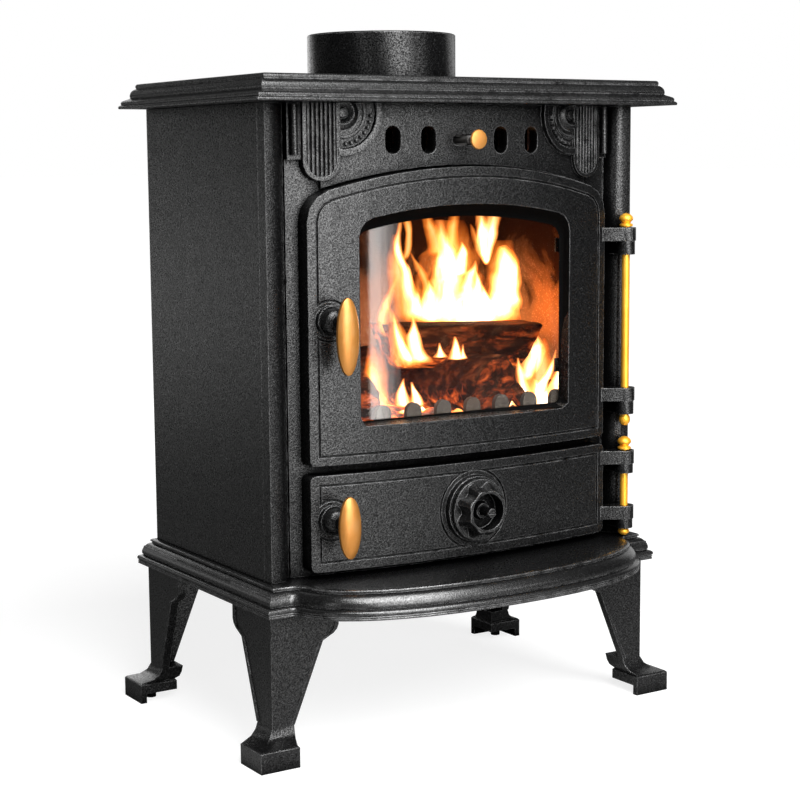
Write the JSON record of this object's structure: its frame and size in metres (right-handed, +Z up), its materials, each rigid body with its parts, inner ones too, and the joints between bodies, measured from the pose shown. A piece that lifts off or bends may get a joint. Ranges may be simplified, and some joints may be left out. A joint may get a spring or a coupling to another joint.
{
  "type": "wood stove",
  "caption": "Small cast iron wood stove on curved legs, with a bowed front, an arched glass door, an ash door with a spin wheel, brass knobs and a top flue collar.",
  "frame": {"origin": "middle of the stove's footprint, on the floor under the feet", "axes": "+Z up, -Y towards the doors, +X towards the hinge side, which is on the right seen from the front"},
  "size_m": [0.457, 0.3536, 0.6434],
  "materials": {
    "painted_iron": "satin black heat-resisting paint over a fine sand-cast grain",
    "bare_iron": "dull dark iron",
    "steel": "plain steel fastenings",
    "brass": "polished",
    "glass": "clear heat-proof glass, slightly smoked",
    "firebrick": "matt vermiculite board",
    "rope": "glass fibre rope"
  },
  "bodies": {
    "stove": {"ash_hinge_pin": "brass", "ash_pan": "bare_iron", "back_panel": "painted_iron", "baffle_plate": "bare_iron", "base_plate": "painted_iron", "collar_bolt_1": "steel", "collar_bolt_2": "steel", "collar_bolt_3": "steel", "flue_collar": "painted_iron", "front_frame": "painted_iron", "front_left_leg": "painted_iron", "front_right_leg": "painted_iron", "grate": "bare_iron", "left_firebrick": "firebrick", "left_side_panel": "painted_iron", "leg_bolt_1": "steel", "leg_bolt_2": "steel", "leg_bolt_3": "steel", "leg_bolt_4": "steel", "log_guard": "bare_iron", "main_hinge_pin": "brass", "rear_cover": "painted_iron", "rear_cover_bolt_1": "steel", "rear_cover_bolt_2": "steel", "rear_firebrick": "firebrick", "rear_left_leg": "painted_iron", "rear_right_leg": "painted_iron", "right_firebrick": "firebrick", "right_side_panel": "painted_iron", "slider_keeper_left": "steel", "slider_keeper_right": "steel", "tie_rod_1": "steel", "tie_rod_2": "steel", "tie_rod_3": "steel", "tie_rod_4": "steel", "top_plate": "painted_iron"},
    "main_door": {"main_door": "painted_iron", "door_glass": "glass", "main_door_seal": "rope", "glass_clip_1": "steel", "glass_clip_2": "steel", "glass_clip_3": "steel", "glass_clip_4": "steel", "clip_screw_1": "steel", "clip_screw_2": "steel", "clip_screw_3": "steel", "clip_screw_4": "steel"},
    "main_handle": {"main_handle_shaft": "painted_iron", "main_handle_knob": "brass", "main_latch_cam": "steel"},
    "ash_door": {"ash_door": "painted_iron", "ash_door_seal": "rope", "wheel_spindle": "steel"},
    "ash_handle": {"ash_handle_shaft": "painted_iron", "ash_handle_knob": "brass", "ash_latch_cam": "steel"},
    "wheel_seat": {"wheel_washer": "steel"},
    "spin_wheel": {"spin_wheel": "painted_iron"},
    "air_slider": {"air_slider": "bare_iron", "slider_knob": "brass"}
  },
  "joints": [
    {"name": "main_door_swing", "type": "hinge", "parent": "stove", "child": "main_door", "pos_m": [0.185, -0.09285, 0.39], "axis": [0, 0, 1], "range_deg": [0, 110]},
    {"name": "main_handle_turn", "type": "hinge", "parent": "main_door", "child": "main_handle", "pos_m": [-0.1435, -0.1, 0.387], "axis": [0, -1, 0], "range_deg": [0, 90]},
    {"name": "ash_door_swing", "type": "hinge", "parent": "stove", "child": "ash_door", "pos_m": [0.185, -0.09285, 0.208], "axis": [0, 0, 1], "range_deg": [0, 110]},
    {"name": "ash_handle_turn", "type": "hinge", "parent": "ash_door", "child": "ash_handle", "pos_m": [-0.1435, -0.1, 0.2111], "axis": [0, -1, 0], "range_deg": [0, 90]},
    {"name": "wheel_advance", "type": "slide", "parent": "ash_door", "child": "wheel_seat", "axis": [0, -1, 0], "range_m": [0, 0.0051]},
    {"name": "wheel_turn", "type": "hinge", "parent": "wheel_seat", "child": "spin_wheel", "pos_m": [0, -0.11, 0.20795], "axis": [0, -1, 0], "range_deg": [0, 720]},
    {"name": "air_slide", "type": "slide", "parent": "stove", "child": "air_slider", "axis": [1, 0, 0], "range_m": [-0.008, 0.008]}
  ],
  "couplings": [
    {"joint": "wheel_advance", "follows": "wheel_turn", "m_per_rad": 0.0003979}
  ]
}
